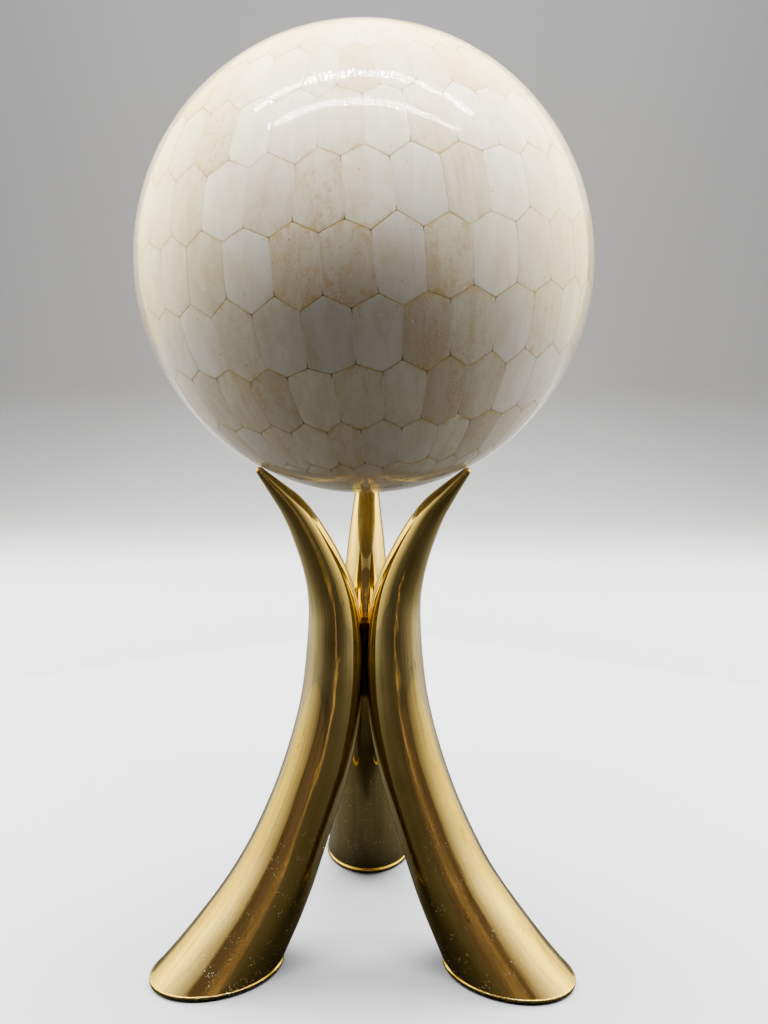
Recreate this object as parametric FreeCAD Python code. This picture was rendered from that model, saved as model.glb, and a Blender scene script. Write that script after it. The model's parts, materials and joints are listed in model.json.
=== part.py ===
"""Tessellated bone ball on a brass stand of three curved horns.

Millimetres, +Z up. The origin is on the stand's axis, on the surface that it stands on. One horn
stands towards +Y, the other two towards -Y, to the left and to the right. The ball rests loose on
the three horn tips and lifts straight up out of them.

The ball is a two-part hollow core, bedded and jointed with one skin of brown filler, under eleven
rows of five- and six-sided bone tiles and one many-sided tile at each end. Row 1 is the lowest,
row 6 lies on the ball's own equator and row 11 is the highest.
"""
import FreeCAD
import Part
import math
import os

# Ball
BALL_RADIUS = 101.6
TILE_THICKNESS = 3.0
JOINT_WIDTH = 0.45
JOINT_DEPTH = 0.15
BEDDING = 0.5
CORE_WALL = 9.0
LAP_HEIGHT = 6.0

# Tile pattern, in degrees on the ball
ROWS_EACH_SIDE = 5
ROW_PITCH = 14.64
ZIGZAG = 2.7
TILES_IN_ROW = 34
TILES_IN_END_ROW = 17

# How the ball happens to lie in its cradle, in degrees
LEAN_FORWARD = 3.9
LEAN_LEFT = 4.1
TURN = 8.5

# Depths of the wedges that cut the tiles out, in ball radii
WEDGE_FOOT = 0.9
WEDGE_TOP = 1.1
SEWING_TOLERANCE = 0.0005

# Horn centreline from foot to tip: height, distance from the stand's axis, tube radius.
# The first station is below the foot, which is cut off level.
HORN_STATIONS = [
    (-20.0, 94.0, 26.6),
    (0.0, 76.0, 23.6),
    (29.0, 54.1, 19.8),
    (58.0, 38.6, 16.9),
    (87.0, 26.6, 15.7),
    (117.0, 18.6, 14.6),
    (146.0, 15.9, 13.3),
    (175.0, 18.8, 10.7),
    (204.0, 31.1, 7.2),
    (218.3, 41.6, 4.7),
    (231.4, 53.8, 1.45),
]
HORN_AZIMUTHS = {"horn_rear": 90.0, "horn_left": 210.0, "horn_right": 330.0}
HORN_WALL = 2.2

# The horn is hollow as far as this station; the foot's plate and pad follow its shape over fewer
HOLLOW_STATIONS = 9
FOOT_STATIONS = 6

# Rounded tip, and its gap to the ball
TIP_ROUNDING = 1.35
TIP_CLEARANCE = 0.04

# Foot
PAD_THICKNESS = 1.0
PAD_INSET = 1.6
PLATE_THICKNESS = 1.6
PLATE_LIP = 0.5

# Brazed plug between the horns at the waist
BRAZE_RADIUS = 6.5
BRAZE_FOOT = 120.0
BRAZE_TOP = 156.0

FOOT_HEIGHT = PAD_THICKNESS + PLATE_THICKNESS
UP = FreeCAD.Vector(0, 0, 1)
ORIGIN = FreeCAD.Vector(0, 0, 0)


def ball_direction(longitude, latitude):
    """Unit vector in the ball's own frame: longitude 0 is -Y, latitude 90 is +Z."""
    a = math.radians(longitude)
    b = math.radians(latitude)
    return FreeCAD.Vector(math.sin(a) * math.cos(b), -math.cos(a) * math.cos(b), math.sin(b))


def sphere(radius):
    """Sphere with its poles on X and its seam on +Y, clear of every first tile."""
    solid = Part.makeSphere(radius)
    solid.rotate(ORIGIN, UP, 90)
    solid.rotate(ORIGIN, FreeCAD.Vector(0, 1, 0), 90)
    return solid


def corner_point(side_a, side_b, centre, depth, inset):
    """Where two side planes, moved in from the outline by the inset, meet a level plane."""
    total = side_b.cross(centre) * inset
    total += centre.cross(side_a) * inset
    total += side_a.cross(side_b) * depth
    return total * (1 / side_a.dot(side_b.cross(centre)))


def wedge(corners, inset):
    """Flat-sided wedge over a spherical outline, less an inset all round."""
    points = [ball_direction(*corner) for corner in corners]
    centre = FreeCAD.Vector()
    for point in points:
        centre += point
    centre.normalize()
    sides = []
    for index, point in enumerate(points):
        side = point.cross(points[index - 1])
        side.normalize()
        if side.dot(centre) < 0:
            side = side * -1
        sides.append(side)
    count = len(points)
    rings = []
    for depth in (WEDGE_FOOT * BALL_RADIUS, WEDGE_TOP * BALL_RADIUS):
        rings.append([corner_point(sides[i], sides[(i + 1) % count], centre, depth, inset)
                      for i in range(count)])
    faces = [Part.Face(Part.makePolygon(ring + ring[:1])) for ring in rings]
    low, high = rings
    for i in range(count):
        outline = [low[i - 1], low[i], high[i], high[i - 1], low[i - 1]]
        faces.append(Part.Face(Part.makePolygon(outline)))
    solid = Part.makeSolid(Part.makeShell(faces))
    if solid.Volume < 0:
        solid.reverse()
    return solid


def tile(corners):
    """One bone tile, half a joint smaller all round than its outline."""
    bone = sphere(BALL_RADIUS).cut(sphere(BALL_RADIUS - TILE_THICKNESS))
    return bone.common(wedge(corners, JOINT_WIDTH / 2)).Solids[0]


def pocket_faces(corners, bone):
    """The filler's faces at one tile: the rib tops round it, and the walls and floor that hold it."""
    block = sphere(BALL_RADIUS - JOINT_DEPTH).common(wedge(corners, 0.0)).cut(bone)
    kept = []
    for face in block.Faces:
        surface = face.Surface
        if isinstance(surface, Part.Plane):
            distance = abs(surface.Axis.dot(surface.Position))
            if distance < JOINT_WIDTH / 4 or distance > JOINT_WIDTH:
                continue
        kept.append(face)
    return kept


def tiles_in(row):
    return TILES_IN_ROW if abs(row) < ROWS_EACH_SIDE else TILES_IN_END_ROW


def row_start(row):
    """Longitude of a row's first tile; neighbouring rows are half a tile apart."""
    half_tile = 180.0 / TILES_IN_ROW
    if tiles_in(row) == TILES_IN_END_ROW:
        return half_tile
    return half_tile if row % 2 else 0.0


def edge_corners(row, boundary, side):
    """Corners along one edge of a row's first tile, from longitude 0; side is 1 for its upper edge."""
    half = 180.0 / tiles_in(row)
    latitude = boundary * ROW_PITCH
    zigzag = side * ZIGZAG / 2 if abs(boundary) < ROWS_EACH_SIDE - 1 else 0.0
    meets_fine_row = tiles_in(row) < TILES_IN_ROW and abs(boundary) < ROWS_EACH_SIDE
    middle = [(0.0, latitude + zigzag)] if zigzag or meets_fine_row else []
    return [(side * half, latitude - zigzag)] + middle + [(-side * half, latitude - zigzag)]


def row_corners(row):
    """Corners of a row's first tile, in order, centred on longitude 0; row 0 is on the equator."""
    return edge_corners(row, row + 0.5, 1) + edge_corners(row, row - 0.5, -1)


def cap_corners(side):
    """Corners of the single tile at one end of the ball; side is 1 at the top, -1 at the bottom."""
    latitude = side * (ROWS_EACH_SIDE + 0.5) * ROW_PITCH
    step = 360.0 / TILES_IN_END_ROW
    start = row_start(ROWS_EACH_SIDE) + step / 2
    return [(start + step * n, latitude) for n in range(TILES_IN_END_ROW)]


def tiles_and_pockets(corners, start, count):
    """Equal tiles round the ball, and the filler's faces that hold them."""
    bone = tile(corners)
    pocket = Part.makeCompound(pocket_faces(corners, bone))
    angles = [start + 360.0 * n / count for n in range(count)]
    tiles = [bone.rotated(ORIGIN, UP, angle) for angle in angles]
    pockets = [pocket.rotated(ORIGIN, UP, angle) for angle in angles]
    return tiles, pockets


def joint_filler(pockets):
    """Bedding under the tiles and the ribs of filler that stand between them."""
    faces = [face for pocket in pockets for face in pocket.Faces]
    skin = Part.makeCompound(faces)
    skin.sewShape(SEWING_TOLERANCE)
    solid = Part.makeSolid(skin.Shells[0])
    if solid.Volume < 0:
        solid.reverse()
    return solid.cut(sphere(BALL_RADIUS - TILE_THICKNESS - BEDDING))


def core_half(side):
    """Half of the hollow core; the lower half has a spigot that the upper half laps over."""
    outer = BALL_RADIUS - TILE_THICKNESS - BEDDING
    inner = outer - CORE_WALL
    lap_radius = (outer + inner) / 2
    shell = Part.makeSphere(outer).cut(Part.makeSphere(inner))
    block = Part.makeBox(4 * outer, 4 * outer, 2 * outer, FreeCAD.Vector(-2 * outer, -2 * outer, 0))
    lap = Part.makeCylinder(lap_radius, LAP_HEIGHT)
    if side > 0:
        return shell.common(block).cut(lap)
    return shell.cut(block).fuse(shell.common(lap)).removeSplitter()


def horn_solid(stations):
    """Closed solid round a bent centreline, for a horn that stands out towards +X."""
    points = [FreeCAD.Vector(distance, 0, height) for height, distance, radius in stations]
    centreline = Part.BSplineCurve()
    centreline.interpolate(points)
    rings = []
    for point, station in zip(points, stations):
        tangent = centreline.tangent(centreline.parameter(point))[0]
        ring = Part.Wire(Part.makeCircle(station[2]))
        ring.rotate(ORIGIN, FreeCAD.Vector(0, 1, 0), math.degrees(math.atan2(tangent.x, tangent.z)))
        ring.translate(point)
        rings.append(ring)
    return Part.makeLoft(rings, True, False)


def above(height):
    """Block that holds everything above a level."""
    size = 4 * BALL_RADIUS
    return Part.makeBox(size, size, size, FreeCAD.Vector(-size / 2, -size / 2, height))


def tip_edges(solid):
    """The round edge at the horn's tip."""
    top = solid.BoundBox.ZMax
    return [edge for edge in solid.Edges if edge.BoundBox.ZMin > top - 4 and edge.Closed]


def outer_horn():
    """The horn's outside, round at the tip and run on below its foot."""
    whole = horn_solid(HORN_STATIONS)
    return whole.makeFillet(TIP_ROUNDING, tip_edges(whole))


def hollow_horn():
    """Thin-walled horn with a solid tip, cut off level at its foot."""
    bore = [(height, distance, radius - HORN_WALL)
            for height, distance, radius in HORN_STATIONS[:HOLLOW_STATIONS]]
    return outer_horn().cut(horn_solid(bore)).common(above(FOOT_HEIGHT))


def foot_slab(growth, bottom, thickness):
    """Flat slab with the outline of the horn's foot, grown or shrunk all round."""
    stations = [(height, distance, radius + growth)
                for height, distance, radius in HORN_STATIONS[:FOOT_STATIONS]]
    cut_foot = horn_solid(stations).common(above(FOOT_HEIGHT))
    outline = min(cut_foot.Faces, key=lambda face: face.BoundBox.ZMax)
    slab = outline.extrude(UP * thickness)
    slab.translate(UP * (bottom - FOOT_HEIGHT))
    return slab


def waist_braze(horns):
    """Plug of brazing metal in the gap between the three horns."""
    plug = Part.makeCylinder(BRAZE_RADIUS, BRAZE_TOP - BRAZE_FOOT, UP * BRAZE_FOOT)
    plug = plug.cut(horns)
    return max(plug.Solids, key=lambda solid: solid.Volume)


def ball_placement():
    """Where the ball rests: tangent to the rounded tips, leaning and turned as it was set down."""
    height, distance, radius = HORN_STATIONS[-1]
    reach = BALL_RADIUS + TIP_ROUNDING + TIP_CLEARANCE
    centre = FreeCAD.Vector(0, 0, height + math.sqrt(reach ** 2 - distance ** 2))
    axis = FreeCAD.Vector(-math.tan(math.radians(LEAN_LEFT)), -math.tan(math.radians(LEAN_FORWARD)), 1)
    lean = FreeCAD.Rotation(UP, axis)
    return FreeCAD.Placement(centre, lean.multiply(FreeCAD.Rotation(UP, TURN)))


def ball_nodes():
    groups = {}
    for row in range(-ROWS_EACH_SIDE, ROWS_EACH_SIDE + 1):
        name = "bone_row_%02d" % (row + ROWS_EACH_SIDE + 1)
        groups[name] = tiles_and_pockets(row_corners(row), row_start(row), tiles_in(row))
    groups["bone_cap_bottom"] = tiles_and_pockets(cap_corners(-1), 0.0, 1)
    groups["bone_cap_top"] = tiles_and_pockets(cap_corners(1), 0.0, 1)
    nodes = {name: Part.makeCompound(tiles) for name, (tiles, pockets) in groups.items()}
    nodes["joint_filler"] = joint_filler([face for tiles, pockets in groups.values() for face in pockets])
    nodes["core_upper"] = core_half(1)
    nodes["core_lower"] = core_half(-1)
    placement = ball_placement()
    for shape in nodes.values():
        shape.Placement = placement
    return nodes


def stand_nodes():
    pieces = {
        "horn": hollow_horn(),
        "foot_plate": foot_slab(PLATE_LIP, PAD_THICKNESS, PLATE_THICKNESS),
        "felt_pad": foot_slab(-PAD_INSET, 0.0, PAD_THICKNESS),
    }
    nodes = {}
    for horn_name, azimuth in HORN_AZIMUTHS.items():
        place = horn_name.split("_")[1]
        for piece, shape in pieces.items():
            nodes["%s_%s" % (piece, place)] = shape.rotated(ORIGIN, UP, azimuth)
    horns = [nodes[name] for name in HORN_AZIMUTHS]
    nodes["waist_braze"] = waist_braze(horns)
    return nodes


def main():
    os.makedirs("parts", exist_ok=True)
    nodes = stand_nodes()
    nodes.update(ball_nodes())
    for name, shape in nodes.items():
        shape.exportStep("parts/%s.step" % name)
        print("%-16s solids %3d valid %s volume %.1f" % (name, len(shape.Solids), shape.isValid(), shape.Volume))


main()
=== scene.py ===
"""Looks of the tessellated bone ball and its brass horn stand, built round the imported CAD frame.

Metres, +Z up. The ball's tiles, its joint filler, the horns and their foot plates are replaced by finer
meshes of the same shape; the felt pads, the braze and the core keep their CAD shape.
"""
import math
import random
import bmesh
import bpy
import numpy as np
from mathutils import Matrix, Quaternion, Vector, noise
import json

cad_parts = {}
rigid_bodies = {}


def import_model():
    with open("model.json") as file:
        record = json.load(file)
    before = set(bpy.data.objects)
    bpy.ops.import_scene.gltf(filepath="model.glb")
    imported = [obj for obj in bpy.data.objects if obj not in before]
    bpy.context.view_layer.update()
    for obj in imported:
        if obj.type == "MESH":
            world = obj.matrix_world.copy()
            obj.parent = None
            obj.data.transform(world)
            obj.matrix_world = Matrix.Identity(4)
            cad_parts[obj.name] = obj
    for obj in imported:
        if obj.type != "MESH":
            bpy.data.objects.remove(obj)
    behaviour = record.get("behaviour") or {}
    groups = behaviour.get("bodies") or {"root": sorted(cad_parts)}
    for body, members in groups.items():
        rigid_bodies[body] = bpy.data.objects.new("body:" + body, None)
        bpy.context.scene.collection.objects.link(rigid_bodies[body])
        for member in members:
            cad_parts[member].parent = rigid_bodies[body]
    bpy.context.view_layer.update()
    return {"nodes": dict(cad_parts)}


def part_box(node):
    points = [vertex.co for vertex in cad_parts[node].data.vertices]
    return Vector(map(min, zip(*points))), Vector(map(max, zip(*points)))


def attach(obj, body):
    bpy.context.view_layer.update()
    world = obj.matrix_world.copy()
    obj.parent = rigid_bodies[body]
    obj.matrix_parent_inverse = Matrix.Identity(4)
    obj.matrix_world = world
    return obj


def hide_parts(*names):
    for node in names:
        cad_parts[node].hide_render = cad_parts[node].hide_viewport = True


MM = 0.001
UP = Vector((0, 0, 1))

# Blender's noise vectors differ from run to run unless they are seeded
NOISE_SEED = 1

# Tile pattern, as on the CAD ball: degrees, rows counted from the ball's own equator
ROWS_EACH_SIDE = 5
ROW_PITCH = 14.64
ZIGZAG = 2.7
TILES_IN_ROW = 34
TILES_IN_END_ROW = 17
TURN = 8.5
HALF_TILE = 180.0 / TILES_IN_ROW

# Tiles and the joints between them; the width is from tile to tile, the depth is the filler's
TILE_THICKNESS = 3.0 * MM
BEDDING = 0.5 * MM
JOINT_WIDTH = 0.32 * MM
JOINT_DEPTH = 0.02 * MM
RIB_ROUND = 0.01 * MM
EDGE_CUTS = 5

# A tile's rounded edge, in drops below its face and widths in from its side, and the rings of its face
EDGE_SIDE_DROP = 0.02 * MM
EDGE_FACE_DROP = 0.004 * MM
EDGE_WIDTH = 0.06 * MM
RIM_WIDTH = 0.25 * MM
FACE_RINGS = (1.0, 0.86, 0.66, 0.42, 0.2)

# How uneven hand work left them: corners in degrees, tilts as slopes
CORNER_SCATTER = 0.32
EDGE_WANDER = 0.22 * MM
TILE_TILT = 0.0035
TILE_DOME = 0.03 * MM

# Step from tile to tile in the noise that grains them, so that no two are alike, and the caps' first number
GRAIN_STEP = 7.3
CAP_SEED = 500

# Horn centreline, as on the CAD horns: height, distance from the stand's axis, tube radius, in mm
HORN_STATIONS = (
    (-20.0, 94.0, 26.6),
    (0.0, 76.0, 23.6),
    (29.0, 54.1, 19.8),
    (58.0, 38.6, 16.9),
    (87.0, 26.6, 15.7),
    (117.0, 18.6, 14.6),
    (146.0, 15.9, 13.3),
    (175.0, 18.8, 10.7),
    (204.0, 31.1, 7.2),
    (218.3, 41.6, 4.7),
    (231.4, 53.8, 1.45),
)
HORN_AZIMUTHS = {"rear": 90.0, "left": 210.0, "right": 330.0}
TIP_ROUNDING = 1.35 * MM
HORN_SIDES = 128
HORN_ROWS = 200
ROW_CROWDING = 1.5
PLATE_LIP = 0.5 * MM
PLATE_BEVEL = 0.25 * MM
POLISH_RADIUS = 12 * MM
POLISH_STEP = 30 * MM

# Waviness of the horns: waves to a metre, how much finer and how deep the three sizes of wave are.
# The waves are drawn out lengthwise, and fade over rows at the foot and over stations at the tip.
WAVES = 40.0
WAVE_STRETCH = 0.6
SMALL_WAVES = 2.6
WAIST_RIPPLES = 4.2
WAVE_DEPTH = 0.22 * MM
SMALL_WAVE_DEPTH = 0.10 * MM
WAIST_RIPPLE_DEPTH = 0.06 * MM
WAIST_HEIGHT = 0.175
WAIST_REACH = 0.055
FOOT_FADE = 6
TIP_FADE = 0.6

# Floor and its backdrop
FLOOR_FRONT = -3.0
FLOOR_BACK = 1.2
FLOOR_HALF_WIDTH = 3.5
BEND_RADIUS = 0.9
BEND_STEPS = 12
BACKDROP_TOP = 3.2
FLOOR_TONE = (0.62, 0.62, 0.63)
SURROUND_TONE = (0.30, 0.30, 0.305)
SURROUND_RADIUS = 8.0

# The room that the brass mirrors: an arch round the object, bright at the sides and dark at the front
ARCH_HALF_WIDTH = 1.1
ARCH_HEIGHT = 1.2
ARCH_STEPS = 24
ARCH_DEPTHS = (-1.6, -0.8, 0.0, 0.6, 1.2)
ARCH_SQUARENESS = 0.6
EYE_HEIGHT = 0.12
ARCH_GLOW = 1.15
GLOW_BY_SLOPE = 2.2
BRIGHTEST_GLOW = 3.2
FRONT_SHARE = 0.08
BRIGHTEST_SHARE = 1.3
ROOM_FALLOFF = 1.25
NEARLY_NOTHING = 0.001

# Rows of small lamps over the object
STRIP_LENGTH = 0.8
STRIP_WIDTH = 0.035
STRIP_HEIGHT = 0.87
STRIP_GLOW = 110.0
STRIP_PLACES = {"strip_near": -0.24, "strip_far": -0.08}
LAMP_SPACING = 0.0165

# Camera: place in metres, turns in degrees
CAMERA_PLACE = (0.0130, -0.4552, 0.2780)
CAMERA_PAN = 0.51
CAMERA_TILT = 8.75
CAMERA_ROLL = 0.14
CAMERA_LENS = 34.5


# ---------------------------------------------------------------- node helpers

def new_material(name):
    material = bpy.data.materials.new(name)
    material.use_nodes = True
    tree = material.node_tree
    return material, tree, tree.nodes["Principled BSDF"]


def glowing_material(name, tone=(1, 1, 1)):
    """A black material that gives off light, and which the renderer doesn't aim rays at."""
    material, tree, shader = new_material(name)
    set_inputs(shader, {"Base Color": (0, 0, 0, 1), "Emission Color": (*tone, 1), "Emission Strength": 1})
    material.cycles.emission_sampling = "NONE"
    return material, tree, shader


def set_inputs(node, values):
    for name, value in values.items():
        node.inputs[name].default_value = value


def link(tree, source, target):
    tree.links.new(source, target)


def feed(tree, item, socket):
    """Feeds a socket from another socket, or sets it to a plain value."""
    if hasattr(item, "is_linked"):
        link(tree, item, socket)
    else:
        socket.default_value = item


def maths(tree, operation, a, b=0.0, clamp=False):
    node = tree.nodes.new("ShaderNodeMath")
    node.operation = operation
    node.use_clamp = clamp
    feed(tree, a, node.inputs[0])
    feed(tree, b, node.inputs[1])
    return node.outputs[0]


def plus(tree, a, b, clamp=False):
    return maths(tree, "ADD", a, b, clamp)


def minus(tree, a, b, clamp=False):
    return maths(tree, "SUBTRACT", a, b, clamp)


def times(tree, a, b, clamp=False):
    return maths(tree, "MULTIPLY", a, b, clamp)


def over(tree, a, b):
    return maths(tree, "DIVIDE", a, b)


def ramp(tree, value, low, high, to_low=0.0, to_high=1.0):
    """Smooth step of a value from one range to another."""
    node = tree.nodes.new("ShaderNodeMapRange")
    node.interpolation_type = "SMOOTHSTEP"
    feed(tree, value, node.inputs["Value"])
    set_inputs(node, {"From Min": low, "From Max": high, "To Min": to_low, "To Max": to_high})
    return node.outputs[0]


def mix(tree, share, low, high, mode="MIX"):
    """A share of the high colour over the low one."""
    node = tree.nodes.new("ShaderNodeMix")
    node.data_type = "RGBA"
    node.blend_type = mode
    feed(tree, share, node.inputs["Factor"])
    feed(tree, low, node.inputs["A"])
    feed(tree, high, node.inputs["B"])
    return node.outputs["Result"]


def attribute(tree, name, output="Fac"):
    """A layer that the mesh carries: Fac, Vector or Color."""
    node = tree.nodes.new("ShaderNodeAttribute")
    node.attribute_name = name
    return node.outputs[output]


def object_place(tree):
    return tree.nodes.new("ShaderNodeTexCoord").outputs["Object"]


def parts_of(tree, vector):
    """A vector's X, Y and Z."""
    node = tree.nodes.new("ShaderNodeSeparateXYZ")
    link(tree, vector, node.inputs[0])
    return node.outputs


def stretched(tree, vector, scale):
    node = tree.nodes.new("ShaderNodeMapping")
    link(tree, vector, node.inputs["Vector"])
    node.inputs["Scale"].default_value = scale
    return node.outputs[0]


def noise_field(tree, vector, scale, detail=2.0, rough=0.5, distortion=0.0):
    node = tree.nodes.new("ShaderNodeTexNoise")
    link(tree, vector, node.inputs["Vector"])
    set_inputs(node, {"Scale": scale, "Detail": detail, "Roughness": rough, "Distortion": distortion})
    return node.outputs["Fac"]


def grain(tree, vector, scale, detail=2.0, rough=0.5, distortion=0.0):
    """Noise with a scale for each axis."""
    return noise_field(tree, stretched(tree, vector, scale), 1.0, detail, rough, distortion)


def cells(tree, vector, scale=1.0, scatter=1.0):
    """Distance to the nearest of a field of points, one to a cell."""
    node = tree.nodes.new("ShaderNodeTexVoronoi")
    link(tree, vector, node.inputs["Vector"])
    set_inputs(node, {"Scale": scale, "Randomness": scatter})
    return node.outputs["Distance"]


def bump(tree, height, distance, strength=1.0, normal=None):
    node = tree.nodes.new("ShaderNodeBump")
    link(tree, height, node.inputs["Height"])
    node.inputs["Distance"].default_value = distance
    feed(tree, strength, node.inputs["Strength"])
    if normal is not None:
        link(tree, normal, node.inputs["Normal"])
    return node.outputs[0]


def colour(red, green, blue):
    """Linear colour from an sRGB one with channels from 0 to 255."""
    channels = []
    for channel in (red, green, blue):
        share = channel / 255
        channels.append(share / 12.92 if share <= 0.04045 else ((share + 0.055) / 1.055) ** 2.4)
    return (*channels, 1.0)


# ------------------------------------------------------------------- materials

def bone_grain(tree, place, tint, streak):
    """The tile's tint with clouds, lengthwise bands, streaks and pores in it, and three of those fields."""
    cloud = grain(tree, place, (0.12, 0.05, 1.0), 3.0, 0.55, 0.4)
    fibre = grain(tree, place, (2.2, 0.11, 1.0), 3.0, 0.6)
    band = grain(tree, place, (0.45, 0.03, 1.0))

    deep = mix(tree, 1.0, tint, colour(243, 236, 220), "MULTIPLY")
    base = mix(tree, ramp(tree, cloud, 0.3, 0.75), tint, deep)
    banded = times(tree, ramp(tree, band, 0.42, 0.68), plus(tree, streak, 0.12))
    darker = mix(tree, 1.0, base, colour(232, 219, 192), "MULTIPLY")
    base = mix(tree, times(tree, banded, 0.45), base, darker)
    streaks = times(tree, streak, ramp(tree, fibre, 0.48, 0.72))
    base = mix(tree, times(tree, streaks, 0.25), base, colour(166, 150, 116))

    grid = cells(tree, stretched(tree, place, (1.25, 0.5, 1.0)))
    picked = ramp(tree, grain(tree, place, (0.22, 0.12, 1.0), 1.0), 0.52, 0.66)
    pores = times(tree, ramp(tree, grid, 0.05, 0.2, 1.0, 0.0), picked)
    pores = times(tree, pores, plus(tree, streak, 0.15, True))
    base = mix(tree, times(tree, pores, 0.7), base, colour(112, 84, 50))
    return base, cloud, fibre, pores


def bone_stains(tree, place, base, cloud, stain, mottle):
    """Tan mottles, amber that has crept in from the level joints, small pits and dirty corners."""
    blotch = grain(tree, place, (0.34, 0.26, 1.0), 4.0, 0.65, 0.8)
    mottles = times(tree, mottle, ramp(tree, blotch, 0.50, 0.66))
    base = mix(tree, times(tree, mottles, 0.85), base, colour(208, 172, 112))

    edge = attribute(tree, "tile_edge")
    reach = times(tree, ramp(tree, grain(tree, place, (0.22, 0.22, 1.0), 4.0, 0.65), 0.44, 0.70), 3.4)
    near = minus(tree, 1.0, over(tree, edge, plus(tree, reach, 0.12)), True)
    level = ramp(tree, attribute(tree, "tile_level"), 0.35, 0.75, 0.3, 1.0)
    amber = times(tree, times(tree, near, stain), level)
    base = mix(tree, times(tree, amber, 0.8), base, colour(204, 176, 114))

    grid = cells(tree, stretched(tree, place, (0.17, 0.17, 1.0)))
    pits = times(tree, ramp(tree, grid, 0.03, 0.09, 0.7, 0.0), ramp(tree, cloud, 0.45, 0.55))
    base = mix(tree, pits, base, colour(150, 128, 86))

    ragged = times(tree, grain(tree, place, (1.4, 1.4, 1.0)), 0.8)
    corner_gap = plus(tree, attribute(tree, "tile_knot"), ragged)
    picked = ramp(tree, grain(tree, place, (0.06, 0.06, 1.0), 1.0), 0.46, 0.54)
    dirt = times(tree, ramp(tree, corner_gap, 0.5, 0.95, 1.0, 0.0), picked)
    return mix(tree, times(tree, dirt, 0.85), base, colour(104, 84, 48))


def bone_material():
    """Lacquered bone, with pale flecks of dust caught in the lacquer, painted near white so that they also
    serve as small painted highlights. Layers on the mesh say, tile by tile, its place in millimetres, its
    tint and its wear: streaks, stain and mottles."""
    material, tree, shader = new_material("lacquered_bone")
    place = attribute(tree, "tile_place", "Vector")
    tint = attribute(tree, "tile_tint", "Color")
    streak, stain, mottle = parts_of(tree, attribute(tree, "tile_wear", "Vector"))
    base, cloud, fibre, pores = bone_grain(tree, place, tint, streak)
    base = bone_stains(tree, place, base, cloud, stain, mottle)

    # Pale dust flecks in the lacquer, also bumped in the coat: their near-white colour is partly painted
    # highlight, glints painted into the base colour
    grid = cells(tree, stretched(tree, place, (0.30, 0.30, 1.0)), 5.0)
    picked = ramp(tree, grain(tree, place, (0.07, 0.07, 1.0), 1.0), 0.42, 0.54)
    dust_specks_and_glints = times(tree, ramp(tree, grid, 0.11, 0.25, 1.0, 0.0), picked)
    base = mix(tree, times(tree, dust_specks_and_glints, 0.9), base, colour(255, 255, 252))
    link(tree, base, shader.inputs["Base Color"])

    lacquer = plus(tree, grain(tree, place, (0.17, 0.15, 1.0)), times(tree, dust_specks_and_glints, 7.0))
    link(tree, bump(tree, lacquer, 0.08 * MM, 0.8), shader.inputs["Coat Normal"])
    surface = plus(tree, fibre, times(tree, pores, -0.6))
    link(tree, bump(tree, surface, 0.05 * MM, 0.4), shader.inputs["Normal"])
    set_inputs(shader, {
        "Roughness": 0.42,
        "Subsurface Weight": 0.15,
        "Subsurface Radius": (1.0, 0.75, 0.5),
        "Subsurface Scale": 1.6 * MM,
        "Coat Weight": 1.0,
        "Coat Roughness": 0.04,
        "Coat IOR": 1.5,
    })
    return material


def filler_material():
    """Resin under the same lacquer: pale in upright joints, tan in level ones, dark at the corners."""
    material, tree, shader = new_material("joint_resin")
    spot = object_place(tree)
    patch = noise_field(tree, spot, 90.0, 3.0, 0.6)
    grit = noise_field(tree, spot, 900.0, 3.0, 0.6)
    base = mix(tree, ramp(tree, patch, 0.32, 0.68), colour(208, 184, 138), colour(176, 146, 98))
    base = mix(tree, ramp(tree, grit, 0.58, 0.7, 0.0, 0.7), base, colour(96, 72, 42))
    upright = ramp(tree, attribute(tree, "rib_level"), 0.35, 0.75, 0.97, 0.0)
    upright = times(tree, upright, ramp(tree, patch, 0.5, 0.75, 1.0, 0.5))
    base = mix(tree, upright, base, colour(234, 227, 210))
    dark = times(tree, ramp(tree, attribute(tree, "rib_knot"), 0.7, 1.0), ramp(tree, patch, 0.38, 0.52))
    base = mix(tree, dark, base, colour(106, 86, 50))
    link(tree, base, shader.inputs["Base Color"])
    link(tree, bump(tree, grit, 0.04 * MM, 0.6), shader.inputs["Normal"])
    set_inputs(shader, {"Roughness": 0.5, "Coat Weight": 1.0, "Coat Roughness": 0.08})
    return material


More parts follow.
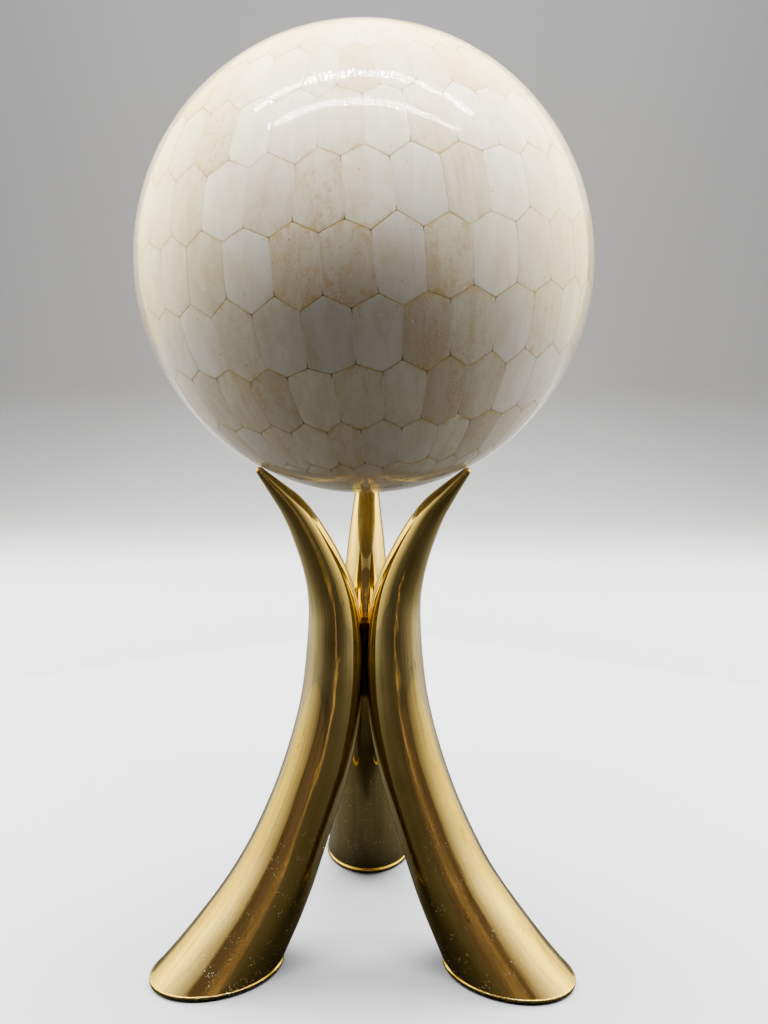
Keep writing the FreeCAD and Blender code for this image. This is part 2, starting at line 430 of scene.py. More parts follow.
def brass_material(name, shine):
    """Polished brass with lengthwise hairlines, smudges, a little tarnish and dust low down."""
    material, tree, shader = new_material(name)
    place = attribute(tree, "horn_place", "Vector")
    hairs = grain(tree, place, (1500.0, 1500.0, 14.0), 3.0, 0.6)
    lines = grain(tree, place, (420.0, 420.0, 5.0), 3.0, 0.6)
    smudge = grain(tree, place, (60.0, 60.0, 16.0), 4.0, 0.6, 0.6)
    tarnish = grain(tree, place, (220.0, 220.0, 60.0), 4.0, 0.7)
    base = mix(tree, smudge, colour(232, 215, 158), colour(216, 194, 132))
    streak = plus(tree, ramp(tree, lines, 0.5, 0.7, 0.0, 0.4), ramp(tree, hairs, 0.5, 0.75, 0.0, 0.45))
    base = mix(tree, streak, base, colour(172, 142, 78))
    base = mix(tree, ramp(tree, tarnish, 0.6, 0.78, 0.0, 0.5), base, colour(120, 94, 50))

    spot = object_place(tree)
    height = parts_of(tree, spot)["Z"]
    dust = ramp(tree, cells(tree, spot, 850.0), 0.1, 0.27, 0.9, 0.0)
    dust = times(tree, dust, ramp(tree, height, 0.01, 0.12, 1.0, 0.1))
    dust = times(tree, dust, ramp(tree, noise_field(tree, spot, 140.0), 0.44, 0.66))
    base = mix(tree, dust, base, colour(225, 220, 205))
    link(tree, base, shader.inputs["Base Color"])
    link(tree, minus(tree, 1.0, dust), shader.inputs["Metallic"])

    rubbed = times(tree, ramp(tree, height, 0.01, 0.15, 1.0, 0.0), ramp(tree, hairs, 0.3, 0.8, 0.03, 0.15))
    rough = plus(tree, ramp(tree, smudge, 0.35, 0.7, shine, shine + 0.05), rubbed)
    link(tree, rough, shader.inputs["Roughness"])
    normal = bump(tree, lines, 0.05 * MM, ramp(tree, height, 0.02, 0.19, 1.0, 0.2))
    normal = bump(tree, hairs, 0.035 * MM, ramp(tree, height, 0.02, 0.19, 1.0, 0.1), normal)
    link(tree, normal, shader.inputs["Normal"])
    set_inputs(shader, {"Coat Weight": 0.7, "Coat Roughness": 0.12})
    return material


def braze_material():
    """Dull brass as it ran in the joint, browned by the torch."""
    material, tree, shader = new_material("waist_braze")
    patch = noise_field(tree, object_place(tree), 160.0, 4.0, 0.6)
    base = mix(tree, patch, colour(150, 112, 58), colour(80, 54, 28))
    link(tree, base, shader.inputs["Base Color"])
    link(tree, ramp(tree, patch, 0.3, 0.7, 0.35, 0.6), shader.inputs["Roughness"])
    link(tree, bump(tree, patch, 0.3 * MM, 0.7), shader.inputs["Normal"])
    set_inputs(shader, {"Metallic": 1.0})
    return material


def felt_material():
    """Thin dark felt with loose fibres."""
    material, tree, shader = new_material("dark_felt")
    fibres = noise_field(tree, object_place(tree), 2600.0, 4.0, 0.7, 1.5)
    base = mix(tree, fibres, colour(22, 22, 21), colour(58, 56, 52))
    link(tree, base, shader.inputs["Base Color"])
    link(tree, bump(tree, fibres, 0.25 * MM, 0.9), shader.inputs["Normal"])
    set_inputs(shader, {"Roughness": 0.95, "Sheen Weight": 0.4})
    return material


def wood_material():
    """Turned softwood of the core, with growth rings."""
    material, tree, shader = new_material("core_wood")
    spot = object_place(tree)
    bands = grain(tree, spot, (14.0, 60.0, 60.0), 3.0, 0.5, 1.2)
    fibres = grain(tree, spot, (30.0, 900.0, 900.0))
    base = mix(tree, ramp(tree, bands, 0.35, 0.65), colour(206, 168, 120), colour(166, 122, 76))
    base = mix(tree, ramp(tree, fibres, 0.55, 0.75, 0.0, 0.4), base, colour(120, 84, 50))
    link(tree, base, shader.inputs["Base Color"])
    link(tree, bump(tree, fibres, 0.1 * MM, 0.6), shader.inputs["Normal"])
    set_inputs(shader, {"Roughness": 0.7})
    return material


# -------------------------------------------------------------------- the ball

def mean_point(node):
    vertices = frame["nodes"][node].data.vertices
    return sum((vertex.co for vertex in vertices), Vector()) / len(vertices)


def ball_frame():
    """The CAD ball's centre, radius and rotation."""
    low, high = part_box("joint_filler")
    centre = (low + high) / 2
    equator = frame["nodes"]["bone_row_%02d" % (ROWS_EACH_SIDE + 1)].data.vertices
    radius = max((vertex.co - centre).length for vertex in equator)
    axis = mean_point("bone_cap_top") - mean_point("bone_cap_bottom")
    rotation = UP.rotation_difference(axis) @ Quaternion(UP, math.radians(TURN))
    return centre, radius, rotation


def direction(longitude, latitude):
    """Unit vector in the ball's own frame: longitude 0 is -Y, latitude 90 is +Z."""
    a = math.radians(longitude)
    b = math.radians(latitude)
    return Vector((math.sin(a) * math.cos(b), -math.cos(a) * math.cos(b), math.sin(b)))


def tiles_in(row):
    return TILES_IN_ROW if abs(row) < ROWS_EACH_SIDE else TILES_IN_END_ROW


def corner(boundary, step):
    """A tile corner, a little off its place: so many row pitches up and so many half tiles round."""
    step %= 2 * TILES_IN_ROW
    draw = random.Random("corner %s %s" % (boundary, step))
    latitude = boundary * ROW_PITCH
    if abs(boundary) < ROWS_EACH_SIDE - 1:
        below = round(boundary - 0.5)
        peak = (step - below) % 2 == 0
        latitude += ZIGZAG / 2 if peak else -ZIGZAG / 2
    longitude = step * HALF_TILE + draw.gauss(0, CORNER_SCATTER) / math.cos(math.radians(latitude))
    return direction(longitude, latitude + draw.gauss(0, CORNER_SCATTER))


def tile_corners(row, number):
    """Corners of one tile of a row, anticlockwise from outside."""
    if tiles_in(row) == TILES_IN_ROW:
        middle = 2 * number + row % 2
        reach = 1
    else:
        middle = 4 * number + 1
        reach = 2
    upper = [corner(row + 0.5, middle + reach), corner(row + 0.5, middle - reach)]
    lower = [corner(row - 0.5, middle - reach), corner(row - 0.5, middle + reach)]
    if abs(row + 0.5) < ROWS_EACH_SIDE - 1 or row == -ROWS_EACH_SIDE:
        upper.insert(1, corner(row + 0.5, middle))
    if abs(row - 0.5) < ROWS_EACH_SIDE - 1 or row == ROWS_EACH_SIDE:
        lower.insert(1, corner(row - 0.5, middle))
    return upper + lower


def cap_corners(side):
    """Corners of the single tile at one end, anticlockwise from outside."""
    steps = range(3, 3 + 4 * TILES_IN_END_ROW, 4)
    corners = [corner(side * (ROWS_EACH_SIDE + 0.5), step) for step in steps]
    return corners if side > 0 else corners[::-1]


def wandered(point):
    """A point on the unit ball, moved a little so that joints aren't ruler straight."""
    shift = noise.noise_vector(point * 9.0) + 0.5 * noise.noise_vector(point * 31.0)
    return (point + shift * (EDGE_WANDER / ball_radius)).normalized()


class TileOutline:
    """One tile's joint line, laid flat round its middle: x runs east and y north, in metres."""

    def __init__(self, corners):
        self.middle = sum(corners, Vector()).normalized()
        east = UP.cross(self.middle)
        self.east = east.normalized() if east.length > 0.05 else Vector((1, 0, 0))
        self.north = self.middle.cross(self.east)
        self.points = []
        for index, start in enumerate(corners):
            end = corners[(index + 1) % len(corners)]
            for cut in range(EDGE_CUTS):
                self.points.append(self.flat(wandered(start.lerp(end, cut / EDGE_CUTS).normalized())))

    def flat(self, point):
        angle = point.angle(self.middle)
        spot = Vector((point.dot(self.east), point.dot(self.north)))
        return spot.normalized() * angle * ball_radius if angle > 1e-6 else Vector((0, 0))

    def on_ball(self, spot, radius):
        """A flat spot, put back on the ball at a radius."""
        angle = spot.length / ball_radius
        if angle < 1e-9:
            return self.middle * radius
        side = (self.east * spot.x + self.north * spot.y).normalized()
        return (self.middle * math.cos(angle) + side * math.sin(angle)) * radius

    def inset(self, distance):
        """The outline moved inwards by a distance."""
        moved = []
        count = len(self.points)
        for index, point in enumerate(self.points):
            before = (point - self.points[index - 1]).normalized()
            after = (self.points[(index + 1) % count] - point).normalized()
            inward = Vector((-before.y - after.y, before.x + after.x))
            moved.append(point + inward * (distance / (1 + before.dot(after))))
        return moved

    def depths(self, spots):
        """For each flat spot: how far the nearest joint is, how level that joint is, how far a corner is."""
        starts = np.array(self.points)[None, :, :]
        runs = np.roll(starts, -1, axis=1) - starts
        gaps = np.array(spots)[:, None, :] - starts
        shares = np.clip((gaps * runs).sum(2) / (runs * runs).sum(2), 0, 1)
        to_lines = np.linalg.norm(gaps - runs * shares[:, :, None], axis=2)
        nearest = to_lines.argmin(axis=1)
        levels = self.levels()
        to_corner = np.linalg.norm(gaps[:, ::EDGE_CUTS], axis=2).min(axis=1)
        return [(to_lines[i, line], levels[line], to_corner[i]) for i, line in enumerate(nearest)]

    def levels(self):
        """How level each stretch of joint line is, from 0 upright to 1 level."""
        ends = self.points[1:] + self.points[:1]
        return [abs((end - start).normalized().x) for start, end in zip(self.points, ends)]


def ring_faces(mesh, outer, inner):
    count = len(outer)
    for index in range(count):
        after = (index + 1) % count
        mesh.faces.new((outer[index], outer[after], inner[after], inner[index]))


def fan(mesh, ring, middle, flip=False):
    count = len(ring)
    for index in range(count):
        face = (ring[index], ring[(index + 1) % count], middle)
        mesh.faces.new(face[::-1] if flip else face)


# Tile looks by letter: colour, streaks, stain along its joints, mottles. The ranges below are how far a
# tile strays from its letter's lightness, warmth and wear.
TILE_LOOKS = {
    "w": (colour(237, 233, 221), 0.04, 0.40, 0.00),
    "c": (colour(235, 230, 214), 0.10, 0.60, 0.15),
    "y": (colour(233, 226, 205), 0.15, 0.85, 0.30),
    "p": (colour(234, 227, 213), 0.10, 0.50, 0.15),
    "g": (colour(229, 223, 211), 0.08, 0.40, 0.00),
    "t": (colour(230, 222, 202), 0.30, 1.00, 0.50),
    "s": (colour(230, 222, 203), 0.55, 0.75, 0.25),
    "b": (colour(222, 212, 192), 0.40, 0.90, 0.55),
    "m": (colour(233, 225, 203), 0.25, 1.00, 1.00),
}
# The tiles that face the front, from the seventh left of the first tile, row by row
FRONT_TILES = {
    4: "ccccppwwwcycc",
    3: "mmywwwtwwtccc",
    2: "cyymwpywtwwcc",
    1: "ccywptcwswwwc",
    0: "cccywtbgtwccc",
    -1: "ccwygggbswtwc",
    -2: "cctsbcycbswwc",
    -3: "csgscsgwybcyc",
    -4: "cysgcygtcsgcy",
}
FIRST_LETTER = -7
ANY_TILE = "wwwcccyyyppgttsssbmm"
LIGHTNESS = (0.93, 1.04)
WARMTH = (-0.02, 0.02)
WEAR = (-0.08, 0.08)
# The brightly lit top and the tiles off the front get deeper tints, so that they still look apart
DEEP_FROM_ROW = 3
DEEPER = 1.6


def tile_look(row, number):
    """Colour, streaks, stain and mottles of a tile, round its letter's own."""
    draw = random.Random("tile %d %d" % (row, number))
    letters = FRONT_TILES.get(row, "")
    place = (number + tiles_in(row) // 2) % tiles_in(row) - tiles_in(row) // 2 - FIRST_LETTER
    letter = letters[place] if 0 <= place < len(letters) else draw.choice(ANY_TILE)
    tint, *wear = TILE_LOOKS[letter]
    if row >= DEEP_FROM_ROW or not 0 <= place < len(letters):
        tint = [channel ** DEEPER for channel in tint]
    light = draw.uniform(*LIGHTNESS)
    warm = draw.uniform(*WARMTH)
    tint = (tint[0] * light * (1 + warm), tint[1] * light, tint[2] * light * (1 - warm), 1.0)
    return tint, Vector([max(0.0, min(1.0, value + draw.uniform(*WEAR))) for value in wear])


def add_tile(mesh, outline, look, seed, layers):
    """One tile: flat floor, sides, a small rounded edge and a slightly domed, slightly tilted face."""
    draw = random.Random("face %s" % seed)
    tilt = Vector((draw.gauss(0, TILE_TILT), draw.gauss(0, TILE_TILT)))
    widest = max(point.length for point in outline.points)

    def ring(spots, drop):
        made = []
        for spot, (to_line, level, to_corner) in zip(spots, outline.depths(spots)):
            share = spot.length / widest
            rise = tilt.dot(spot) * (1 - share ** 4) + TILE_DOME * (1 - share ** 2)
            radius = ball_radius - drop + (rise if drop < TILE_THICKNESS / 2 else 0.0)
            vertex = mesh.verts.new(outline.on_ball(spot, radius))
            vertex[layers["place"]] = Vector((spot.x / MM, spot.y / MM, seed * GRAIN_STEP))
            vertex[layers["edge"]] = max(0.0, to_line - JOINT_WIDTH / 2) / MM
            vertex[layers["level"]] = level
            vertex[layers["knot"]] = to_corner / MM
            vertex[layers["tint"]], vertex[layers["wear"]] = look
            made.append(vertex)
        return made

    middle = Vector((0, 0))
    side = outline.inset(JOINT_WIDTH / 2)
    rim = outline.inset(JOINT_WIDTH / 2 + RIM_WIDTH)
    rings = [
        ring(side, TILE_THICKNESS),
        ring(side, EDGE_SIDE_DROP),
        ring(outline.inset(JOINT_WIDTH / 2 + EDGE_WIDTH), EDGE_FACE_DROP),
    ]
    rings += [ring([spot * scale for spot in rim], 0.0) for scale in FACE_RINGS]
    for outer, inner in zip(rings, rings[1:]):
        ring_faces(mesh, outer, inner)
    fan(mesh, rings[-1], ring([middle], 0.0)[0])
    fan(mesh, rings[0], ring([middle], TILE_THICKNESS)[0], flip=True)


def add_pocket(mesh, outline, knot, level):
    """The filler round and under one tile: rib tops, pocket walls and pocket floor. The knot layer says how
    near a corner is, and the level layer how level the joint is."""
    side = outline.inset(JOINT_WIDTH / 2)
    levels = outline.levels()
    top = ball_radius - JOINT_DEPTH
    floor = ball_radius - TILE_THICKNESS

    def ring(spots, radius):
        made = [mesh.verts.new(outline.on_ball(spot, radius)) for spot in spots]
        for index, vertex in enumerate(made):
            steps = index % EDGE_CUTS
            vertex[knot] = 1.0 - min(steps, EDGE_CUTS - steps) / (EDGE_CUTS / 2)
            vertex[level] = (levels[index - 1] + levels[index]) / 2
        return made

    rings = [
        ring(outline.points, top),
        ring(side, top - RIB_ROUND),
        ring(side, floor),
        ring([spot * 0.5 for spot in side], floor),
    ]
    for outer, inner in zip(rings, rings[1:]):
        ring_faces(mesh, outer, inner)
    fan(mesh, rings[-1], mesh.verts.new(outline.middle * floor))


def finish_mesh(mesh, name, material, body, smooth_angle):
    """Piece from a bmesh, riding on a body, and smooth but for edges sharper than an angle in degrees."""
    data = bpy.data.meshes.new(name)
    mesh.normal_update()
    for face in mesh.faces:
        face.smooth = True
    for edge in mesh.edges:
        if edge.is_manifold and edge.calc_face_angle() > math.radians(smooth_angle):
            edge.smooth = False
    mesh.to_mesh(data)
    mesh.free()
    data.materials.append(material)
    piece = bpy.data.objects.new(name, data)
    bpy.context.scene.collection.objects.link(piece)
    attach(piece, body)
    return piece


def tile_piece(name, node, tiles, material):
    """All the tiles of one CAD node, as one piece."""
    mesh = bmesh.new()
    layers = {
        "place": mesh.verts.layers.float_vector.new("tile_place"),
        "edge": mesh.verts.layers.float.new("tile_edge"),
        "level": mesh.verts.layers.float.new("tile_level"),
        "knot": mesh.verts.layers.float.new("tile_knot"),
        "tint": mesh.verts.layers.float_color.new("tile_tint"),
        "wear": mesh.verts.layers.float_vector.new("tile_wear"),
    }
    for outline, look, seed in tiles:
        add_tile(mesh, outline, look, seed, layers)
    mesh.transform(Matrix.Translation(ball_centre) @ ball_rotation.to_matrix().to_4x4())
    piece = finish_mesh(mesh, name, material, "ball", 50.0)
    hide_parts(node)


def filler_piece(outlines, material):
    """The one mass of filler, with a pocket for each tile and a plain round inside."""
    mesh = bmesh.new()
    knot = mesh.verts.layers.float.new("rib_knot")
    level = mesh.verts.layers.float.new("rib_level")
    for outline in outlines:
        add_pocket(mesh, outline, knot, level)
    bmesh.ops.remove_doubles(mesh, verts=mesh.verts, dist=0.002 * MM)
    inside = bmesh.ops.create_icosphere(mesh, subdivisions=5, radius=ball_radius - TILE_THICKNESS - BEDDING)
    faces = {face for vertex in inside["verts"] for face in vertex.link_faces}
    bmesh.ops.reverse_faces(mesh, faces=list(faces))
    mesh.transform(Matrix.Translation(ball_centre) @ ball_rotation.to_matrix().to_4x4())
    piece = finish_mesh(mesh, "joint_filler_ribs", material, "ball", 30.0)
    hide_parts("joint_filler")


def make_ball():
    bone = bone_material()
    outlines = []
    for row in range(-ROWS_EACH_SIDE, ROWS_EACH_SIDE + 1):
        tiles = []
        for number in range(tiles_in(row)):
            outline = TileOutline(tile_corners(row, number))
            seed = (row + ROWS_EACH_SIDE) * TILES_IN_ROW + number + 1
            tiles.append((outline, tile_look(row, number), seed))
            outlines.append(outline)
        label = "row_%02d" % (row + ROWS_EACH_SIDE + 1)
        tile_piece("bone_tiles_" + label, "bone_" + label, tiles, bone)
    for side, label in ((-1, "cap_bottom"), (1, "cap_top")):
        outline = TileOutline(cap_corners(side))
        outlines.append(outline)
        look = tile_look(side * (ROWS_EACH_SIDE + 1), 0)
        tile_piece("bone_tile_" + label, "bone_" + label, [(outline, look, CAP_SEED + side)], bone)
    filler_piece(outlines, filler_material())


# ------------------------------------------------------------------- the stand

def cubic_spline(values):
    """Natural cubic through values at 0, 1, 2..., as a function of that count."""
    count = len(values)
    matrix = np.eye(count)
    right = np.zeros(count)
    for i in range(1, count - 1):
        matrix[i, i - 1:i + 2] = (1, 4, 1)
        right[i] = 6 * (values[i - 1] - 2 * values[i] + values[i + 1])
    bends = np.linalg.solve(matrix, right)

    def at(place):
        i = min(max(int(place), 0), count - 2)
        t = place - i
        low = (1 - t) * values[i] + t * values[i + 1]
        return low + ((t ** 3 - t) * bends[i + 1] + ((1 - t) ** 3 - (1 - t)) * bends[i]) / 6

    return at


HEIGHT_AT, DISTANCE_AT, RADIUS_AT = [cubic_spline([s[i] * MM for s in HORN_STATIONS]) for i in range(3)]
LAST = len(HORN_STATIONS) - 1


def tube_radius(place):
    """The tube's radius, rounded off at the tip."""
    gap = math.hypot(HEIGHT_AT(LAST) - HEIGHT_AT(place), DISTANCE_AT(LAST) - DISTANCE_AT(place))
    radius = RADIUS_AT(place)
    if gap < TIP_ROUNDING:
        radius -= TIP_ROUNDING - math.sqrt(max(0.0, TIP_ROUNDING ** 2 - (TIP_ROUNDING - gap) ** 2))
    return radius


def horn_point(place, angle, growth=0.0):
    """A point of a horn that stands out towards +X; angle 0 is on its outer side."""
    step = 0.001
    rise = HEIGHT_AT(place + step) - HEIGHT_AT(place - step)
    run = DISTANCE_AT(place + step) - DISTANCE_AT(place - step)
    length = math.hypot(rise, run)
    radius = tube_radius(place) + growth
    out = radius * math.cos(angle)
    return Vector((DISTANCE_AT(place) + out * rise / length, radius * math.sin(angle),
                   HEIGHT_AT(place) - out * run / length))


def place_at_height(height, angle, growth=0.0):
    """Where along the horn a line down its side crosses a level."""
    low, high = 0.0, 3.0
    for halving in range(40):
        middle = (low + high) / 2
        if horn_point(middle, angle, growth).z < height:
            low = middle
        else:
            high = middle
    return (low + high) / 2


def uneven(point, azimuth):
    """How far hand polishing has left a horn's surface off its true place."""
    spot = Vector((point.x, point.y, point.z * WAVE_STRETCH)) * WAVES + Vector((azimuth, 0, 0))
    waist = max(0.0, 1 - abs(point.z - WAIST_HEIGHT) / WAIST_REACH)
    ripple = noise.noise(spot * WAIST_RIPPLES) * WAIST_RIPPLE_DEPTH * waist
    return noise.noise(spot) * WAVE_DEPTH + noise.noise(spot * SMALL_WAVES) * SMALL_WAVE_DEPTH + ripple


def finish_stand_part(mesh, rings, azimuth, name, node, material, smooth_angle):
    """Skins a stack of rings, turns it round the stand's axis and makes it stand in for a CAD node."""
    for lower, upper in zip(rings, rings[1:]):
        ring_faces(mesh, lower, upper)
    mesh.faces.new(rings[0][::-1])
    mesh.faces.new(rings[-1])
    mesh.transform(Matrix.Rotation(math.radians(azimuth), 4, "Z"))
    piece = finish_mesh(mesh, name, material, "stand", smooth_angle)
    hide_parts(node)


def horn_piece(place_name, azimuth, foot_height, material):
    """A horn from its level foot to its tip, with its rows closer together towards the tip."""
    mesh = bmesh.new()
    layer = mesh.verts.layers.float_vector.new("horn_place")
    angles = [math.tau * side / HORN_SIDES for side in range(HORN_SIDES)]
    starts = [place_at_height(foot_height, angle) for angle in angles]
    rings = []
    for row in range(HORN_ROWS + 1):
        share = 1 - (1 - row / HORN_ROWS) ** ROW_CROWDING
        ring = []
        for angle, start in zip(angles, starts):
            place = start + (LAST - start) * share
            point = horn_point(place, angle)
            outward = (point - Vector((DISTANCE_AT(place), 0, HEIGHT_AT(place)))).normalized()
            fade = min(1.0, row / FOOT_FADE) * min(1.0, (LAST - place) / TIP_FADE)
            made = mesh.verts.new(point + outward * uneven(point, azimuth) * fade)
            polish = (outward.x * POLISH_RADIUS, outward.y * POLISH_RADIUS, place * POLISH_STEP + azimuth)
            made[layer] = polish
            ring.append(made)
        rings.append(ring)
    finish_stand_part(mesh, rings, azimuth, "brass_horn_" + place_name, "horn_" + place_name, material, 35.0)


def plate_piece(place_name, azimuth, low, high, material):
    """The foot's closing plate from its low to its high level, with its edge slightly rounded."""
    mesh = bmesh.new()
    layer = mesh.verts.layers.float_vector.new("horn_place")
    angles = [math.tau * side / HORN_SIDES for side in range(HORN_SIDES)]
    outline = [horn_point(place_at_height(high, angle, PLATE_LIP), angle, PLATE_LIP) for angle in angles]
    middle = sum(outline, Vector()) / HORN_SIDES
    half_profile = ((PLATE_BEVEL * 4, 0.0), (PLATE_BEVEL, 0.0), (0.0, PLATE_BEVEL))
    profile = [(inset, low + rise) for inset, rise in half_profile]
    profile += [(inset, high - rise) for inset, rise in half_profile[::-1]]
    rings = []
    for inset, height in profile:
        ring = []
        for point in outline:
            inward = (middle - point).normalized() * inset
            made = mesh.verts.new((point.x + inward.x, point.y + inward.y, height))
            made[layer] = made.co * 0.5
            ring.append(made)
        rings.append(ring)
    finish_stand_part(mesh, rings, azimuth, "brass_plate_" + place_name, "foot_plate_" + place_name,
                      material, 60.0)


def give(nodes, material):
    """Gives CAD nodes that keep their shape their material."""
    for node in nodes:
        data = frame["nodes"][node].data
        data.materials.clear()
        data.materials.append(material)


def make_stand():
    horn_brass = brass_material("polished_brass", 0.04)
    plate_brass = brass_material("plate_brass", 0.16)
    for place_name, azimuth in HORN_AZIMUTHS.items():
        low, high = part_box("foot_plate_" + place_name)
        horn_piece(place_name, azimuth, high.z, horn_brass)
        plate_piece(place_name, azimuth, low.z, high.z, plate_brass)
    give(["felt_pad_" + place_name for place_name in HORN_AZIMUTHS], felt_material())
    give(["waist_braze"], braze_material())


# ------------------------------------------------------------------ the studio

def stage_object(name, mesh, material, *hidden_from):
    """A thing of the studio, hidden from the kinds of ray named."""
    data = bpy.data.meshes.new(name)
    mesh.to_mesh(data)
    mesh.free()
    for polygon in data.polygons:
        polygon.use_smooth = True
    data.materials.append(material)
    piece = bpy.data.objects.new(name, data)
    bpy.context.scene.collection.objects.link(piece)
    for kind in hidden_from:
        setattr(piece, "visible_" + kind, False)
    return piece


def card(name, width, depth, material, *hidden_from):
    """A flat level sheet."""
    mesh = bmesh.new()
    bmesh.ops.create_grid(mesh, x_segments=1, y_segments=1, size=0.5)
    bmesh.ops.scale(mesh, verts=mesh.verts, vec=(width, depth, 1))
    return stage_object(name, mesh, material, *hidden_from)


def sheet_through(rows):
    """A mesh through rows of points."""
    mesh = bmesh.new()
    made = [[mesh.verts.new(point) for point in row] for row in rows]
    for a, b in zip(made, made[1:]):
        for index in range(len(a) - 1):
            mesh.faces.new((a[index], a[index + 1], b[index + 1], b[index]))
    return mesh


def make_floor():
    """Pale floor that curves up into a backdrop, and fades out far off at the front and the sides."""
    profile = [(FLOOR_FRONT, 0.0), (FLOOR_BACK, 0.0)]
    for step in range(1, BEND_STEPS + 1):
        angle = math.radians(90 * step / BEND_STEPS)
        y = FLOOR_BACK + BEND_RADIUS * math.sin(angle)
        z = BEND_RADIUS - BEND_RADIUS * math.cos(angle)
        profile.append((y, z))
    profile.append((FLOOR_BACK + BEND_RADIUS, BACKDROP_TOP))
    mesh = sheet_through([[(x, y, z) for x in (-FLOOR_HALF_WIDTH, FLOOR_HALF_WIDTH)] for y, z in profile])
    material, tree, shader = new_material("pale_floor")
    set_inputs(shader, {"Base Color": (*FLOOR_TONE, 1), "Roughness": 0.6})
    spot = parts_of(tree, object_place(tree))
    from_sides = ramp(tree, maths(tree, "ABSOLUTE", spot["X"]), 1.3, 2.6, 1.0, 0.0)
    from_front = ramp(tree, spot["Y"], -2.4, -1.1)
    link(tree, times(tree, from_sides, from_front), shader.inputs["Alpha"])
    stage_object("floor", mesh, material)


def make_surround():
    """Plain pale dome that only the camera sees, where the floor and its backdrop end."""
    mesh = bmesh.new()
    bmesh.ops.create_icosphere(mesh, subdivisions=4, radius=SURROUND_RADIUS)
    material, tree, shader = glowing_material("pale_surround", SURROUND_TONE)
    stage_object("surround", mesh, material, "diffuse", "glossy", "transmission", "shadow")


def room_share(tree):
    """Height and distance of a place in the mirrored room, and how bright the room is on that side."""
    spot = parts_of(tree, object_place(tree))
    squares = [maths(tree, "POWER", maths(tree, "ABSOLUTE", spot[axis]), 2.0) for axis in "XY"]
    away = maths(tree, "SQRT", plus(tree, *squares))
    behind = plus(tree, 1.0, over(tree, spot["Y"], plus(tree, away, NEARLY_NOTHING)))
    share = times(tree, maths(tree, "POWER", behind, ROOM_FALLOFF), 1.0 - FRONT_SHARE)
    return spot["Z"], away, maths(tree, "MINIMUM", plus(tree, share, FRONT_SHARE), BRIGHTEST_SHARE)


def make_floor_card():
    """Darker floor that only reflections and bounces see; at the back it fades into the pale one."""
    material, tree, shader = glowing_material("floor_card")
    height, away, share = room_share(tree)
    tone = mix(tree, share, (0.005, 0.004, 0.003, 1), (0.028, 0.028, 0.029, 1))
    link(tree, tone, shader.inputs["Base Color"])
    glow = times(tree, share, ramp(tree, away, 0.2, 0.9, 0.0, 0.45))
    link(tree, glow, shader.inputs["Emission Strength"])
    fade = ramp(tree, parts_of(tree, object_place(tree))["Y"], 0.65, 1.15, 1.0, 0.0)
    link(tree, fade, shader.inputs["Alpha"])
    set_inputs(shader, {"Roughness": 0.9})
    floor_card = card("floor_card", 5.0, 5.0, material, "camera", "shadow")
    floor_card.location.z = 0.4 * MM


def make_front_card():
    """Dark card behind the camera, which only reflections and bounces see."""
    material, tree, shader = new_material("front_card")
    set_inputs(shader, {"Base Color": (0.12, 0.090, 0.074, 1), "Roughness": 0.9})
    front_card = card("front_card", 3.0, 3.0, material, "camera", "shadow")
    front_card.location = (0, -1.7, 1.0)
    front_card.rotation_euler = (math.radians(-90), 0, 0)


def make_tent():
    """Arch over the object, which only reflections see: brighter the steeper one looks up at it."""
    rows = []
    for step in range(ARCH_STEPS + 1):
        angle = math.pi * step / ARCH_STEPS
        run = abs(math.cos(angle)) ** ARCH_SQUARENESS
        x = -ARCH_HALF_WIDTH * math.copysign(run, math.cos(angle))
        z = ARCH_HEIGHT * math.sin(angle) ** ARCH_SQUARENESS
        rows.append([(x, y, z) for y in ARCH_DEPTHS])
    material, tree, shader = glowing_material("tent_glow")
    height, away, share = room_share(tree)
    slope = over(tree, minus(tree, height, EYE_HEIGHT), plus(tree, away, NEARLY_NOTHING))
    glow = times(tree, maths(tree, "EXPONENT", times(tree, slope, GLOW_BY_SLOPE)), ARCH_GLOW)
    glow = maths(tree, "MINIMUM", glow, BRIGHTEST_GLOW)
    link(tree, times(tree, glow, share), shader.inputs["Emission Strength"])
    tone = mix(tree, share, (1.0, 0.86, 0.70, 1), (0.98, 1.0, 0.86, 1))
    golden = times(tree, share, ramp(tree, slope, -0.3, 0.15), True)
    tone = mix(tree, golden, tone, (1.0, 0.82, 0.28, 1))
    link(tree, tone, shader.inputs["Emission Color"])
    stage_object("tent", sheet_through(rows), material, "camera", "diffuse", "shadow")


def make_strip(name, y):
    """Row of small lamps over the object, which only reflections see."""
    material, tree, shader = glowing_material(name)
    pitch = 1 / LAMP_SPACING
    lamps = cells(tree, stretched(tree, object_place(tree), (pitch, pitch, 1)), 1.0, 0.15)
    glow = ramp(tree, lamps, 0.2, 0.38, STRIP_GLOW, STRIP_GLOW * 0.05)
    link(tree, glow, shader.inputs["Emission Strength"])
    strip = card(name, STRIP_LENGTH, STRIP_WIDTH, material, "camera", "diffuse", "shadow")
    strip.location = (0, y, STRIP_HEIGHT)


def soft_light(name, centre, target, width, height, power, tone=(1, 1, 1), mirrored=False):
    """Area light that faces a target; unless it's mirrored, it shows in no reflection."""
    lamp = bpy.data.lights.new(name, "AREA")
    lamp.shape = "RECTANGLE"
    lamp.size = width
    lamp.size_y = height
    lamp.energy = power
    lamp.color = tone
    holder = bpy.data.objects.new(name, lamp)
    holder.location = centre
    holder.rotation_euler = (Vector(target) - Vector(centre)).to_track_quat("-Z", "Y").to_euler()
    holder.visible_glossy = mirrored
    bpy.context.scene.collection.objects.link(holder)
    return holder


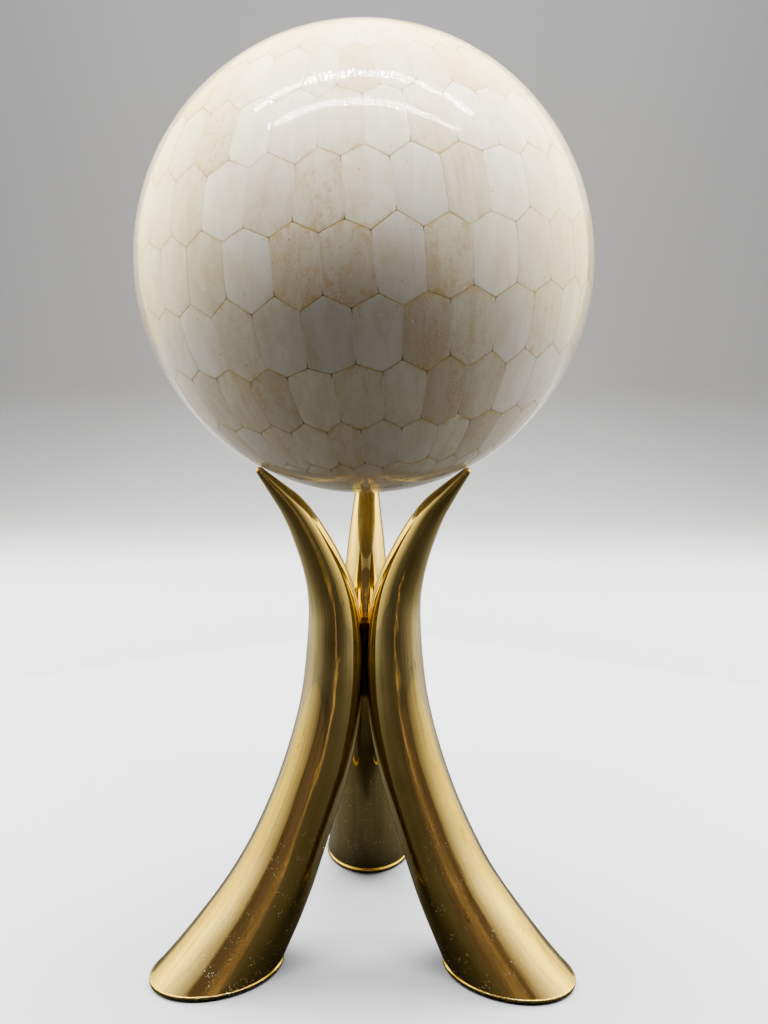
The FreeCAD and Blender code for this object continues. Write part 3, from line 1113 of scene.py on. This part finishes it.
def make_warm_edge():
    """Wavering upright streak of warm light near the camera, which only the horns mirror."""
    tone = (1.0, 0.68, 0.36)
    holder = soft_light("warm_edge", (0.05, -0.5, 0.15), (0, 0, 0.15), 0.40, 0.34, 1.3, tone, True)
    holder.data.use_nodes = True
    tree = holder.data.node_tree
    spot = tree.nodes.new("ShaderNodeNewGeometry").outputs["Parametric"]
    across = minus(tree, parts_of(tree, spot)["X"], 0.5)
    waver = times(tree, minus(tree, grain(tree, spot, (1.3, 22.0, 1.0), 3.0, 0.6), 0.5), 2.2)
    half_width = ramp(tree, grain(tree, spot, (5.0, 31.0, 1.0), 1.0), 0.3, 0.7, 0.006, 0.028)
    off = maths(tree, "ABSOLUTE", minus(tree, across, waver))
    streak = minus(tree, 1.0, over(tree, off, half_width), True)
    link(tree, streak, tree.nodes["Emission"].inputs["Strength"])
    only_brass = bpy.data.collections.new("only_brass")
    for piece in bpy.data.objects:
        if piece.name.startswith("brass_horn"):
            only_brass.objects.link(piece)
    holder.light_linking.receiver_collection = only_brass


def make_lights():
    """Soft lights over, beside and before the object, a wash on the backdrop and a faint even glow."""
    soft_light("top_softbox", (0, 0.45, 1.05), ball_centre, 2.0, 0.9, 66)
    for side, name in ((-1, "left_softbox"), (1, "right_softbox")):
        soft_light(name, (side, 0.30, 0.45), ball_centre, 0.9, 0.9, 13)
    soft_light("backdrop_light", (0, 0.9, 1.6), (0, 2.1, 0.7), 2.5, 0.3, 14)
    soft_light("overhead_lamps", (0, -0.16, STRIP_HEIGHT), (0, -0.16, 0), STRIP_LENGTH, 0.2, 11)
    soft_light("front_fill", (0, -1.1, 0.05), ball_centre, 0.6, 0.4, 1.8, (0.80, 0.88, 1.0))
    make_warm_edge()
    world = bpy.data.worlds.new("studio")
    bpy.context.scene.world = world
    world.use_nodes = True
    set_inputs(world.node_tree.nodes["Background"], {"Color": (1.0, 0.97, 0.94, 1.0), "Strength": 0.08})


def make_studio():
    """Floor, lights and the room that the brass mirrors."""
    make_floor()
    make_lights()
    for name, y in STRIP_PLACES.items():
        make_strip(name, y)
    make_tent()
    make_front_card()
    make_floor_card()
    make_surround()


def make_camera():
    data = bpy.data.cameras.new("camera")
    data.lens = CAMERA_LENS
    data.clip_start = 0.01
    camera = bpy.data.objects.new("camera", data)
    look = Matrix.Translation(CAMERA_PLACE)
    for angle, axis in ((CAMERA_PAN, "Z"), (90 - CAMERA_TILT, "X"), (CAMERA_ROLL, "Z")):
        look = look @ Matrix.Rotation(math.radians(angle), 4, axis)
    camera.matrix_world = look
    bpy.context.scene.collection.objects.link(camera)
    bpy.context.scene.camera = camera
    bpy.context.scene.view_settings.look = "AgX - Medium High Contrast"


# ------------------------------------------------------------------------ make

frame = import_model()
noise.seed_set(NOISE_SEED)
ball_centre, ball_radius, ball_rotation = ball_frame()
make_ball()
make_stand()
give(["core_upper", "core_lower"], wood_material())
make_studio()
make_camera()
